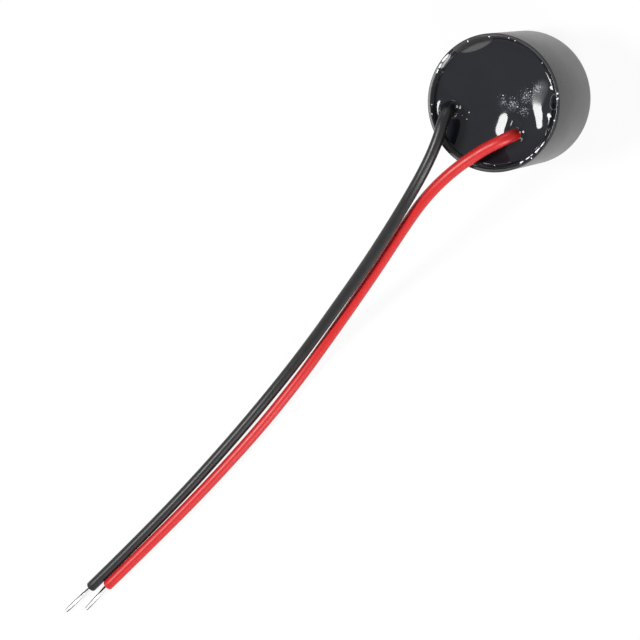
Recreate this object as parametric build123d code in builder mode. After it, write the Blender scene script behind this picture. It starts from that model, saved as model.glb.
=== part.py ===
from build123d import *
from math import cos, pi, radians, sin, tan
import os

os.makedirs("parts", exist_ok=True)

# Self-drive piezo buzzer with two flying leads, in millimetres.
# It stands on its sound-hole face. The origin is the middle of that face, +Z runs along
# the case axis towards the potted back, and the leads run off towards -Y.

# Case: a moulded cup with two ledges inside, one for the disc and one for the board
case_diameter = 12.0
case_height = 9.5
front_thickness = 0.8
rim_thickness = 0.55
board_ledge_width = 0.25
disc_ledge_width = 0.6
resonance_depth = 1.4
board_below_rim = 2.0
sound_hole_diameter = 2.4
sound_hole_chamfer = 0.15
front_edge_chamfer = 0.2
rim_edge_chamfer = 0.1
mouth_chamfer = 0.3
key_rib_radius = 0.65
key_rib_angle = 21.0
key_rib_below_rim = 0.4

# Sounding disc: brass, ceramic and its two printed electrodes
disc_clearance = 0.1
diaphragm_thickness = 0.1
bare_ring_width = 1.5
ceramic_thickness = 0.12
electrode_thickness = 0.03
electrode_margin = 0.35
tongue_width = 1.3
tongue_length = 2.1
tongue_gap = 0.25
tongue_angle = -70.0
adhesive_share = 1 / 3
adhesive_height = 0.45

# Circuit board and its copper, which faces the disc
board_thickness = 0.8
board_clearance = 0.1
copper_thickness = 0.04
track_width = 0.3
lead_pad_diameter = 1.6
link_pad_diameter = 1.2
lead_hole_diameter = 0.6

# Where the leads go in: how far from the case's side, and how far in front of its middle
red_exit_inset = 3.13
black_exit_inset = 2.55
red_exit_forward = 1.75
black_exit_forward = 1.83

# Transistor in a three-leg surface-mount package
transistor_at = (-0.6, 0.2)
transistor_size = (2.9, 1.3, 1.0)
transistor_standoff = 0.08
transistor_draft = 7.0
transistor_edge_radius = 0.06
leg_pitch = 1.9
leg_reach = 0.55
leg_foot_share = 0.64
leg_width = 0.4
leg_thickness = 0.13
leg_pad_size = (0.8, 0.9)

# Chip resistors: two stand side by side, the third lies near the wall beside the red lead
load_resistor_at = (3.0, 0.85)
bias_resistor_at = (1.55, 0.85)
feedback_resistor_beside_red = 2.17
feedback_resistor_inset = 2.6
chip_size = (1.6, 0.8, 0.5)
chip_end_plate = 0.05
chip_side_plate = 0.04
chip_terminal_length = 0.3
chip_pad_size = (0.75, 0.9)
chip_pad_pitch = 1.5

# Link wires between the board and the disc, and their solder. Each pad and dot has the
# angle it stands at and how far it is in from the wall or from the electrode's edge.
link_wire_diameter = 0.3
link_straight = 1.1
link_pad_places = {"ground": (154.1, 1.53), "drive": (81.6, 1.76), "feedback": (-68.9, 1.18)}
drive_dot_place = (72.5, 1.36)
feedback_dot_inset = 0.7
ground_dot_clearance = 0.1
dot_diameter = 0.8
dot_height = 0.3
pad_dot_height = 0.35
lead_joint_height = 0.7
lead_joint_collar = 0.1
lead_poke = 0.12

# Potting over the board. A collar of resin round each lead has a foot radius, a top radius
# and a rise.
potting_below_rim = 0.45
meniscus_reach = 0.9
meniscus_rise = 0.33
red_collar = (1.5, 0.62, 0.5)
black_collar = (1.7, 0.78, 0.72)
key_bump_radius = 1.0
key_bump_rise = 0.36

# Leads: stranded wire in soft sleeving
insulation_diameter = 1.05
conductor_diameter = 0.4
corner_share = 0.45
bare_tips = {"red": 3.7, "black": 4.05}


def export_node(part: Part, name: str) -> None:
    """Label a finished piece and write it to its own file."""
    part.label = name
    export_step(part, f"parts/{name}.step")


def polar_point(radius: float, angle: float) -> tuple:
    """The point at a radius and at an angle in degrees from +X."""
    return (radius * cos(radians(angle)), radius * sin(radians(angle)))


def corner_radii(points: list) -> list:
    """Give each corner a radius: a share of its shorter run over the tangent of half the turn."""
    corners = [Vector(*point) for point in points]
    runs = [after - before for before, after in zip(corners, corners[1:])]
    radii = []
    for run, next_run in zip(runs, runs[1:]):
        turn = run.get_angle(next_run)
        shorter = min(run.length, next_run.length)
        radii.append(corner_share * shorter / tan(radians(turn / 2)))
    return radii


def start_plane(path: Wire) -> Plane:
    """The plane square to a path at its start."""
    return Plane(origin=path @ 0, z_dir=path % 0)


# Radii and levels that follow from the sizes above
case_radius = case_diameter / 2
board_bore_radius = case_radius - rim_thickness
disc_bore_radius = board_bore_radius - board_ledge_width
resonance_radius = disc_bore_radius - disc_ledge_width
disc_ledge_z = front_thickness + resonance_depth
board_top_z = case_height - board_below_rim
board_ledge_z = board_top_z - board_thickness
potting_z = case_height - potting_below_rim
mouth_z = case_height - mouth_chamfer
potting_wall_z = potting_z + meniscus_rise
potting_edge_radius = board_bore_radius + potting_wall_z - mouth_z
key_rib_top_z = case_height - key_rib_below_rim
key_rib_at = polar_point(board_bore_radius, key_rib_angle)
diaphragm_radius = disc_bore_radius - disc_clearance
ceramic_radius = disc_bore_radius - bare_ring_width
adhesive_width = bare_ring_width * adhesive_share
ceramic_z = disc_ledge_z + diaphragm_thickness
electrode_z = ceramic_z + ceramic_thickness
electrode_top_z = electrode_z + electrode_thickness
electrode_radius = ceramic_radius - electrode_margin
copper_z = board_ledge_z - copper_thickness
lead_exits = {
    "red": (case_radius - red_exit_inset, -red_exit_forward),
    "black": (black_exit_inset - case_radius, -black_exit_forward),
}

# Each lead's route starts in the potting, turns over the rim and comes down to the surface
# that the case stands on. The heights near the case are measured from its rim.
lead_routes = {
    "red": [
        (*lead_exits["red"], case_height - 0.95), (*lead_exits["red"], case_height + 0.20),
        (2.28, -2.43, case_height + 1.00), (0.73, -4.08, case_height + 0.85),
        (-1.16, -6.72, case_height + 0.70), (-2.89, -9.93, case_height - 0.10),
        (-4.38, -13.69, 7.70), (-5.95, -18.04, 5.60), (-7.79, -22.91, 3.40),
        (-9.69, -28.02, 1.50), (-11.40, -33.14, 0.60), (-13.67, -39.61, 0.53),
        (-16.93, -47.49, 0.53), (-20.51, -55.27, 0.53), (-23.20, -60.91, 0.53),
    ],
    "black": [
        (*lead_exits["black"], case_height - 0.95), (*lead_exits["black"], case_height + 0.25),
        (-3.36, -2.70, case_height + 1.10), (-3.15, -4.50, case_height + 1.28),
        (-3.35, -7.13, case_height + 1.22), (-4.11, -10.49, case_height + 0.60),
        (-5.43, -14.47, 8.40), (-7.06, -18.85, 6.25), (-9.01, -23.73, 4.00),
        (-11.05, -28.88, 2.00), (-13.16, -34.31, 0.70), (-15.57, -40.83, 0.53),
        (-18.77, -48.56, 0.53), (-22.46, -56.59, 0.53), (-24.90, -61.85, 0.53),
    ],
}

# Case
with BuildPart() as case:
    with BuildSketch(Plane.XZ):
        with BuildLine():
            Polyline(
                (0, 0),
                (case_radius, 0),
                (case_radius, case_height),
                (board_bore_radius, case_height),
                (board_bore_radius, board_ledge_z),
                (disc_bore_radius, board_ledge_z),
                (disc_bore_radius, disc_ledge_z),
                (resonance_radius, disc_ledge_z),
                (resonance_radius, front_thickness),
                (0, front_thickness),
                close=True,
            )
        make_face()
    revolve(axis=Axis.Z)
    front_edge = case.edges().filter_by(GeomType.CIRCLE).group_by(Axis.Z)[0].sort_by(SortBy.RADIUS)[-1]
    chamfer(front_edge, length=front_edge_chamfer)
    mouth_edge = case.edges().filter_by(GeomType.CIRCLE).group_by(Axis.Z)[-1].sort_by(SortBy.RADIUS)[0]
    chamfer(mouth_edge, length=mouth_chamfer)
    rim_edge = case.edges().filter_by(GeomType.CIRCLE).group_by(Axis.Z)[-1].sort_by(SortBy.RADIUS)[-1]
    chamfer(rim_edge, length=rim_edge_chamfer)
    # A half-round key rib locates the board's notch
    with BuildSketch(Plane.XY.offset(board_ledge_z)):
        with Locations(key_rib_at):
            Circle(key_rib_radius)
        Circle((board_bore_radius + case_radius) / 2, mode=Mode.INTERSECT)
    extrude(amount=key_rib_top_z - board_ledge_z)
    with Locations((0, 0, front_thickness)):
        Hole(radius=sound_hole_diameter / 2, depth=front_thickness)
    front_circles = case.edges().filter_by(GeomType.CIRCLE).group_by(Axis.Z)[0]
    chamfer(front_circles.sort_by(SortBy.RADIUS)[0], length=sound_hole_chamfer)
export_node(case.part, "case")

# Brass diaphragm, resting on the case's first ledge
with BuildPart() as diaphragm:
    with BuildSketch(Plane.XY.offset(disc_ledge_z)):
        Circle(diaphragm_radius)
    extrude(amount=diaphragm_thickness)
export_node(diaphragm.part, "diaphragm")

# Piezo ceramic, bonded to the brass on the board's side
with BuildPart() as piezo_ceramic:
    with BuildSketch(Plane.XY.offset(ceramic_z)):
        Circle(ceramic_radius)
    extrude(amount=ceramic_thickness)
export_node(piezo_ceramic.part, "piezo_ceramic")

# The feedback electrode is a round-ended tongue that reaches in from the disc's edge
tongue_plane = Plane.XY.offset(electrode_z).rotated((0, 0, tongue_angle))
tongue_middle = electrode_radius - tongue_length / 2

with BuildPart() as feedback_electrode:
    with BuildSketch(tongue_plane):
        with Locations((tongue_middle, 0)):
            SlotOverall(tongue_length + tongue_width, tongue_width)
        Circle(electrode_radius, mode=Mode.INTERSECT)
    extrude(amount=electrode_thickness)
export_node(feedback_electrode.part, "feedback_electrode")

with BuildPart() as main_electrode:
    with BuildSketch(tongue_plane):
        Circle(electrode_radius)
        with Locations((tongue_middle, 0)):
            SlotOverall(
                tongue_length + tongue_width + 2 * tongue_gap,
                tongue_width + 2 * tongue_gap,
                mode=Mode.SUBTRACT,
            )
    extrude(amount=electrode_thickness)
export_node(main_electrode.part, "main_electrode")

# Silicone bead that holds the disc's edge down on its ledge
with BuildPart() as diaphragm_adhesive:
    with BuildSketch(Plane.XZ):
        with BuildLine():
            Polyline(
                (disc_bore_radius - adhesive_width, ceramic_z),
                (disc_bore_radius, ceramic_z),
                (disc_bore_radius, ceramic_z + adhesive_height),
                close=True,
            )
        make_face()
    revolve(axis=Axis.Z)
export_node(diaphragm_adhesive.part, "diaphragm_adhesive")

# Circuit board, resting on the second ledge, with a notch for the key rib
with BuildPart() as circuit_board:
    with BuildSketch(Plane.XY.offset(board_ledge_z)):
        Circle(board_bore_radius - board_clearance)
        with Locations(key_rib_at):
            Circle(key_rib_radius + board_clearance, mode=Mode.SUBTRACT)
        with Locations(*lead_exits.values()):
            Circle(lead_hole_diameter / 2, mode=Mode.SUBTRACT)
    extrude(amount=board_thickness)
export_node(circuit_board.part, "circuit_board")

# Where the resistors and the link pads stand on the board
resistor_places = {
    "load_resistor": (*load_resistor_at, 90.0),
    "bias_resistor": (*bias_resistor_at, 90.0),
    "feedback_resistor": (
        lead_exits["red"][0] - feedback_resistor_beside_red,
        feedback_resistor_inset - disc_bore_radius,
        0.0,
    ),
}
link_pads = {
    name: polar_point(disc_bore_radius - inset, angle)
    for name, (angle, inset) in link_pad_places.items()
}


def chip_pads(name: str) -> list:
    """The middles of a resistor's two pads, the first at its lower or left end."""
    x, y, turn = resistor_places[name]
    reach_x = chip_pad_pitch / 2 * cos(radians(turn))
    reach_y = chip_pad_pitch / 2 * sin(radians(turn))
    return [(x - reach_x, y - reach_y), (x + reach_x, y + reach_y)]


# Pads of the transistor and the tracks of the five nets
leg_inner = transistor_size[1] / 2
leg_outer = leg_inner + leg_reach
leg_foot = leg_reach * leg_foot_share
foot_reach = leg_outer - leg_foot / 2
emitter_pad = (transistor_at[0] - leg_pitch / 2, transistor_at[1] - foot_reach)
base_pad = (transistor_at[0] + leg_pitch / 2, transistor_at[1] - foot_reach)
collector_pad = (transistor_at[0], transistor_at[1] + foot_reach)
load_pads = chip_pads("load_resistor")
bias_pads = chip_pads("bias_resistor")
feedback_pads = chip_pads("feedback_resistor")
tracks = [
    [lead_exits["red"], (lead_exits["red"][0], load_pads[0][1])],
    [load_pads[1], (collector_pad[0], load_pads[1][1]), collector_pad],
    [(link_pads["drive"][0], load_pads[1][1]), link_pads["drive"]],
    [bias_pads[0], (bias_pads[0][0], base_pad[1]), base_pad],
    [base_pad, (base_pad[0] - track_width, base_pad[1]), (base_pad[0] - track_width, feedback_pads[0][1])],
    [feedback_pads[1], link_pads["feedback"]],
    [emitter_pad, (lead_exits["black"][0], emitter_pad[1]), lead_exits["black"]],
    [(link_pads["ground"][0], emitter_pad[1]), link_pads["ground"]],
]

with BuildPart() as board_copper:
    with BuildSketch(Plane.XY.offset(copper_z)):
        for track in tracks:
            with BuildLine():
                Polyline(*track)
            trace(line_width=track_width)
        with Locations(emitter_pad, base_pad, collector_pad):
            Rectangle(*leg_pad_size)
        for name, (x, y, turn) in resistor_places.items():
            with Locations(*[Location((*pad, 0), (0, 0, turn)) for pad in chip_pads(name)]):
                Rectangle(*chip_pad_size)
        with Locations(*link_pads.values()):
            Circle(link_pad_diameter / 2)
        with Locations(*lead_exits.values()):
            Circle(lead_pad_diameter / 2)
            Circle(lead_hole_diameter / 2, mode=Mode.SUBTRACT)
    extrude(amount=copper_thickness)
export_node(board_copper.part, "board_copper")

# Transistor: it hangs under the board, with its legs on the copper
body_length, body_width, body_height = transistor_size
body_seat_z = copper_z - transistor_standoff
body_middle_z = body_seat_z - body_height / 2

with BuildPart() as transistor_body:
    with BuildSketch(Plane.XY.offset(body_middle_z)):
        with Locations(transistor_at):
            Rectangle(body_length, body_width)
    extrude(amount=body_height / 2, taper=transistor_draft)
    extrude(faces().sort_by(Axis.Z)[0], amount=body_height / 2, taper=transistor_draft)
    fillet(transistor_body.edges().group_by(Axis.Z)[0], radius=transistor_edge_radius)
export_node(transistor_body.part, "transistor_body")

# One gull-wing leg, drawn square to the board from its foot to the body's side
leg_middle = leg_thickness / 2
leg_shoulder = (leg_inner + leg_outer - leg_foot) / 2
foot_level = copper_z - leg_middle

with BuildPart() as transistor_legs:
    leg_places = [(emitter_pad[0], -1), (base_pad[0], -1), (collector_pad[0], 1)]
    for leg_x, side in leg_places:
        leg_plane = Plane(origin=(leg_x, transistor_at[1], 0), x_dir=(0, side, 0), z_dir=(side, 0, 0))
        with BuildSketch(leg_plane):
            with BuildLine():
                Polyline(
                    (leg_inner, body_middle_z),
                    (leg_shoulder, body_middle_z),
                    (leg_outer - leg_foot, foot_level),
                    (leg_outer, foot_level),
                )
            trace(line_width=leg_thickness)
        extrude(amount=leg_width / 2, both=True)
export_node(transistor_legs.part, "transistor_legs")

# Resistors: a ceramic chip with a wrapped metal cap at each end
chip_length, chip_width, chip_height = chip_size
for name, (x, y, turn) in resistor_places.items():
    chip_place = Location((x, y, copper_z - chip_height / 2), (0, 0, turn))
    with BuildPart() as chip:
        with Locations(chip_place):
            Box(chip_length - 2 * chip_end_plate, chip_width, chip_height - 2 * chip_side_plate)
    export_node(chip.part, f"{name}_chip")
    with BuildPart() as terminals:
        with Locations(chip_place):
            Box(chip_length, chip_width, chip_height)
            Box(chip_length - 2 * chip_terminal_length, chip_width, chip_height, mode=Mode.SUBTRACT)
        add(chip.part, mode=Mode.SUBTRACT)
    export_node(terminals.part, f"{name}_terminals")

# Link wires, from their pads on the board down to their dots on the disc
ring_middle_radius = (ceramic_radius + disc_bore_radius - adhesive_width) / 2
ring_dot_diameter = bare_ring_width - adhesive_width - 2 * ground_dot_clearance
drive_angle, drive_dot_inset = drive_dot_place
disc_dots = {
    "ground": (*polar_point(ring_middle_radius, link_pad_places["ground"][0]), ceramic_z),
    "drive": (*polar_point(electrode_radius - drive_dot_inset, drive_angle), electrode_top_z),
    "feedback": (*polar_point(electrode_radius - feedback_dot_inset, tongue_angle), electrode_top_z),
}
for name, (pad_x, pad_y) in link_pads.items():
    dot_x, dot_y, dot_z = disc_dots[name]
    link_route = [(pad_x, pad_y, copper_z), (pad_x, pad_y, copper_z - link_straight), (dot_x, dot_y, dot_z)]
    with BuildPart() as link_wire:
        with BuildLine() as link_path:
            FilletPolyline(*link_route, radius=corner_radii(link_route))
        with BuildSketch(start_plane(link_path.wire())):
            Circle(link_wire_diameter / 2)
        sweep(path=link_path.wire())
        # The slanted end is cut level with what it stands on
        split(bisect_by=Plane.XY.offset(dot_z), keep=Keep.TOP)
    export_node(link_wire.part, f"{name}_link_wire")

    # A solder dome holds each end: a ball cap as wide as the dot, cut through by the wire
    disc_dot_radius = (ring_dot_diameter if name == "ground" else dot_diameter) / 2
    for end, place, side, height, dot_radius in (
        ("disc", (dot_x, dot_y, dot_z), 1, dot_height, disc_dot_radius),
        ("board", (pad_x, pad_y, copper_z), -1, pad_dot_height, dot_diameter / 2),
    ):
        ball_radius = (dot_radius**2 + height**2) / (2 * height)
        ball_z = place[2] + side * (height - ball_radius)
        with BuildPart() as dome:
            with Locations((place[0], place[1], ball_z)):
                Sphere(ball_radius)
            keep = Keep.TOP if side > 0 else Keep.BOTTOM
            split(bisect_by=Plane.XY.offset(place[2]), keep=keep)
            add(link_wire.part, mode=Mode.SUBTRACT)
        export_node(dome.part, f"{name}_{end}_solder")

# Leads: each sleeving is a plain round cord. The strands meet it face to face at both ends:
# one piece runs down from the resin through the board, the other is the bare tip.
insulation_radius = insulation_diameter / 2
conductor_radius = conductor_diameter / 2
joint_tip_z = copper_z - lead_joint_height
board_end_z = joint_tip_z - lead_poke
pad_joint_radius = lead_pad_diameter / 2 - track_width / 2
lead_parts = []
for colour, route in lead_routes.items():
    radii = corner_radii(route)
    with BuildPart() as insulation:
        with BuildLine() as lead_path:
            FilletPolyline(*route, radius=radii)
        with BuildSketch(start_plane(lead_path.wire())):
            Circle(insulation_radius)
        sweep(path=lead_path.wire())
    export_node(insulation.part, f"{colour}_lead_insulation")

    section_area = pi * insulation_radius**2
    lead_length = lead_path.wire().length
    print(colour, "corner radii", [round(radius, 2) for radius in radii])
    print(colour, "length", round(lead_length, 2), "volume", round(insulation.part.volume, 3))
    print(colour, "section times length", round(section_area * lead_length, 3))

    sleeve_end = Vector(*route[-1])
    last_run = sleeve_end - Vector(*route[-2])
    with BuildPart() as conductor:
        with BuildSketch(Plane.XY.offset(board_end_z)):
            with Locations(lead_exits[colour]):
                Circle(conductor_radius)
        extrude(amount=route[0][2] - board_end_z)
        with BuildSketch(Plane(origin=sleeve_end, z_dir=last_run)):
            Circle(conductor_radius)
        extrude(amount=bare_tips[colour])
    export_node(conductor.part, f"{colour}_lead_conductor")
    lead_parts += [insulation.part, conductor.part]

    # Cone of solder round the strands, under the board
    with BuildPart() as joint:
        with BuildSketch(Plane.XY.offset(copper_z)):
            with Locations(lead_exits[colour]):
                Circle(pad_joint_radius)
        with BuildSketch(Plane.XY.offset(joint_tip_z)):
            with Locations(lead_exits[colour]):
                Circle(conductor_radius + lead_joint_collar)
        loft()
        add(conductor.part, mode=Mode.SUBTRACT)
    export_node(joint.part, f"{colour}_lead_solder")

# Potting: poured over the board, drawn up the wall on to the mouth's chamfer, round each lead
# and over the key rib
surface_flat_radius = potting_edge_radius - meniscus_reach
bump_radius = (key_bump_radius**2 + key_bump_rise**2) / (2 * key_bump_rise)
bump_at = (key_rib_at[0], key_rib_at[1], potting_z + meniscus_rise / 2 + key_bump_rise - bump_radius)

with BuildPart() as potting:
    with BuildSketch(Plane.XZ):
        with BuildLine():
            Polyline(
                (0, board_top_z),
                (board_bore_radius, board_top_z),
                (board_bore_radius, mouth_z),
                (potting_edge_radius, potting_wall_z),
                (surface_flat_radius, potting_z),
                (0, potting_z),
                close=True,
            )
        make_face()
    revolve(axis=Axis.Z)
    for colour, (foot_radius, top_radius, rise) in (("red", red_collar), ("black", black_collar)):
        with Locations((*lead_exits[colour], potting_z + rise / 2)):
            Cone(foot_radius, top_radius, rise)
    with Locations(bump_at):
        Sphere(bump_radius)
    with BuildSketch(Plane.XY.offset(board_top_z)):
        Circle(potting_edge_radius)
    extrude(amount=case_height, mode=Mode.INTERSECT)
    add(case.part, mode=Mode.SUBTRACT)
    for lead_part in lead_parts:
        add(lead_part, mode=Mode.SUBTRACT)
export_node(potting.part, "potting")
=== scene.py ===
"""Round self-drive piezo buzzer, resin-potted at the back, with a red and a black lead.

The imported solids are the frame. The case, the resin, the sleeving and the bare tips are modelled
here in their finished shapes; what lies sealed inside keeps its solids and gets its finish.
"""
import logging
from collections.abc import Callable
from dataclasses import dataclass, field
from enum import Enum
from math import atan2, cos, exp, hypot, pi, radians, sin, sqrt, tau

import bmesh
import bpy
from mathutils import Matrix, Vector


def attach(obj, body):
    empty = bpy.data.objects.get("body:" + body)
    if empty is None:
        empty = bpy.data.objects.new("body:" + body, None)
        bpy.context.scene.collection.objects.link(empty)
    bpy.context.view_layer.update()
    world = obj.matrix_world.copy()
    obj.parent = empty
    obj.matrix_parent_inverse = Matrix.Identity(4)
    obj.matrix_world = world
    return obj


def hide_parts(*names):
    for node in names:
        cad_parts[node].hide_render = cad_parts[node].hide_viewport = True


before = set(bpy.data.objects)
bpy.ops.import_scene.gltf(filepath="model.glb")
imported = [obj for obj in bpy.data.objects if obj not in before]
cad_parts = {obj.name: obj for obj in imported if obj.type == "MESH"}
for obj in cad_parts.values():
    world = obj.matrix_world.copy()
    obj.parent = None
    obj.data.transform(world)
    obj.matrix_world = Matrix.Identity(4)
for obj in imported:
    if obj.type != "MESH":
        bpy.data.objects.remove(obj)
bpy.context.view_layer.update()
log = logging.getLogger("buzzer")

MM = 0.001
BODY = "root"
# A corner this near to a ring or a level lies on it, in millimetres
CLOSE = 1e-3
# The colour sockets of the Mix node, which has a set of them for each type of value
MIX_FACTOR, MIX_FIRST, MIX_SECOND, MIX_RESULT = 0, 6, 7, 2
LEAST_ROUGHNESS = 0.02


class Colour(Enum):
    """The two leads, by the colour of their sleeving."""

    RED = "red"
    BLACK = "black"


def linear_colour(code: str) -> tuple[float, float, float, float]:
    """Turn an sRGB hex colour into linear values.

    Args:
        code: A colour such as "#1A1A1B".

    Returns:
        Red, green, blue and an alpha of 1.
    """
    channels = [int(code[start:start + 2], 16) / 255 for start in (1, 3, 5)]
    red, green, blue = [
        c / 12.92 if c <= 0.04045 else ((c + 0.055) / 1.055) ** 2.4 for c in channels
    ]
    return (red, green, blue, 1.0)


def add_node(
    tree: bpy.types.NodeTree,
    kind: str,
    settings: dict[str, object] | None = None,
    inputs: dict[str | int, object] | None = None,
) -> bpy.types.Node:
    """Add a node with its settings and links.

    Args:
        tree: The node tree that it joins.
        kind: The node's type name.
        settings: Attributes of the node and their values.
        inputs: Input sockets, each with a value or with the output socket that feeds it.

    Returns:
        The new node.
    """
    node = tree.nodes.new(kind)
    for name, value in (settings or {}).items():
        setattr(node, name, value)
    for name, value in (inputs or {}).items():
        if isinstance(value, bpy.types.NodeSocket):
            tree.links.new(value, node.inputs[name])
        else:
            node.inputs[name].default_value = value
    return node


def seen_white(tree: bpy.types.NodeTree) -> bpy.types.NodeSocket:
    """Tell rays from the camera, off gloss and through glass from those that carry light.

    Args:
        tree: The node tree of the table's material or of the room.

    Returns:
        1 where the surface is seen, and 0 where it lights the object.
    """
    path = add_node(tree, "ShaderNodeLightPath").outputs
    seen = path["Is Camera Ray"]
    for kind in ("Is Glossy Ray", "Is Transmission Ray"):
        seen = add_node(tree, "ShaderNodeMath", {"operation": "MAXIMUM"}, {
            0: seen, 1: path[kind],
        }).outputs[0]
    return seen


def repeats_per_metre(size_mm: float) -> float:
    """The scale of a pattern on Object coordinates whose repeat is so many millimetres."""
    return 1.0 / (size_mm * MM)


@dataclass(frozen=True)
class Finish:
    """A surface: what it is made of, its colours, its gloss and its two scales of unevenness.

    A grain lifts the surface through Bump, and a slower mottle moves the colour and the gloss.
    A metal has no ior here and keeps the shader's default.
    """

    name: str
    colour: str
    second_colour: str
    roughness: float
    roughness_spread: float = 0.06
    metallic: float = 0.0
    ior: float | None = 1.5
    grain_mm: float = 0.1
    grain_height_mm: float = 0.002
    grain_strength: float = 0.5
    mottle_mm: float = 1.0
    coat: float = 0.0
    coat_roughness: float = 0.05

    def build(self) -> bpy.types.Material:
        """Make the material.

        Returns:
            The material, with its shader linked to its output.
        """
        material = bpy.data.materials.new(self.name)
        material.use_nodes = True
        tree = material.node_tree
        tree.nodes.clear()
        place = add_node(tree, "ShaderNodeTexCoord").outputs["Object"]
        colour, roughness = self.mottle(tree, place)
        shader = add_node(tree, "ShaderNodeBsdfPrincipled", inputs={
            "Base Color": colour,
            "Roughness": roughness,
            "Metallic": self.metallic,
            "Coat Weight": self.coat,
            "Coat Roughness": self.coat_roughness,
            "Normal": self.relief(tree, place),
        })
        if self.ior is not None:
            shader.inputs["IOR"].default_value = self.ior
        self.soften(shader)
        add_node(tree, "ShaderNodeOutputMaterial", inputs={"Surface": shader.outputs["BSDF"]})
        return material

    def mottle(
        self, tree: bpy.types.NodeTree, place: bpy.types.NodeSocket
    ) -> tuple[bpy.types.NodeSocket, bpy.types.NodeSocket]:
        """Mix the two colours and spread the gloss with one slow noise.

        Args:
            tree: The material's node tree.
            place: The coordinates that the pattern follows.

        Returns:
            The colour and the roughness.
        """
        noise = add_node(tree, "ShaderNodeTexNoise", inputs={
            "Vector": place, "Scale": repeats_per_metre(self.mottle_mm),
            "Detail": 4.0, "Roughness": 0.6,
        })
        colour = add_node(tree, "ShaderNodeMix", {"data_type": "RGBA"}, {
            MIX_FACTOR: noise.outputs["Fac"],
            MIX_FIRST: linear_colour(self.colour),
            MIX_SECOND: linear_colour(self.second_colour),
        })
        gloss = add_node(tree, "ShaderNodeMapRange", inputs={
            "Value": noise.outputs["Fac"], "From Min": 0.3, "From Max": 0.7,
            "To Min": max(self.roughness - self.roughness_spread, LEAST_ROUGHNESS),
            "To Max": self.roughness + self.roughness_spread,
        })
        return colour.outputs[MIX_RESULT], gloss.outputs["Result"]

    def relief(
        self, tree: bpy.types.NodeTree, place: bpy.types.NodeSocket
    ) -> bpy.types.NodeSocket:
        """Raise the grain.

        Args:
            tree: The material's node tree.
            place: The coordinates that the grain follows.

        Returns:
            The bumped normal.
        """
        grain = add_node(tree, "ShaderNodeTexNoise", inputs={
            "Vector": place, "Scale": repeats_per_metre(self.grain_mm),
            "Detail": 3.0, "Roughness": 0.6,
        })
        bump = add_node(tree, "ShaderNodeBump", inputs={
            "Height": grain.outputs["Fac"], "Strength": self.grain_strength,
            "Distance": self.grain_height_mm * MM,
        })
        return bump.outputs["Normal"]

    def soften(self, shader: bpy.types.Node) -> None:
        """Set what only some finishes have; the plain finish adds nothing to the shader."""


@dataclass(frozen=True)
class ExtrudedVinyl(Finish):
    """Soft PVC drawn over the strands: a satin skin whose light goes a little way in."""

    scatter: float = 0.06
    scatter_reach: tuple[float, float, float] = (1.0, 0.35, 0.25)
    depth_mm: float = 0.15

    def soften(self, shader: bpy.types.Node) -> None:
        """Let a little light scatter under the skin.

        Args:
            shader: The material's shader.
        """
        shader.inputs["Subsurface Weight"].default_value = self.scatter
        shader.inputs["Subsurface Radius"].default_value = self.scatter_reach
        shader.inputs["Subsurface Scale"].default_value = self.depth_mm * MM


@dataclass(frozen=True)
class DippedStrand(Finish):
    """Tinned strands: bright, with shade painted dark into every other groove between the strands.
    """

    # painted shade: the dark that the grooves between the strands take on
    groove_shade_colour: str = "#141416"

    def mottle(
        self, tree: bpy.types.NodeTree, place: bpy.types.NodeSocket
    ) -> tuple[bpy.types.NodeSocket, bpy.types.NodeSocket]:
        """Paint shade into the grooves, which the mesh marks.

        Args:
            tree: The material's node tree.
            place: Object coordinates.

        Returns:
            The colour and the roughness.
        """
        colour, roughness = super().mottle(tree, place)
        groove = add_node(tree, "ShaderNodeAttribute", {"attribute_name": "groove"})
        # painted shade along the marked grooves
        painted_light_mix = add_node(tree, "ShaderNodeMix", {"data_type": "RGBA"}, {
            MIX_FACTOR: groove.outputs["Fac"], MIX_FIRST: colour,
            MIX_SECOND: linear_colour(self.groove_shade_colour),
        })
        return painted_light_mix.outputs[MIX_RESULT], roughness


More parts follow.
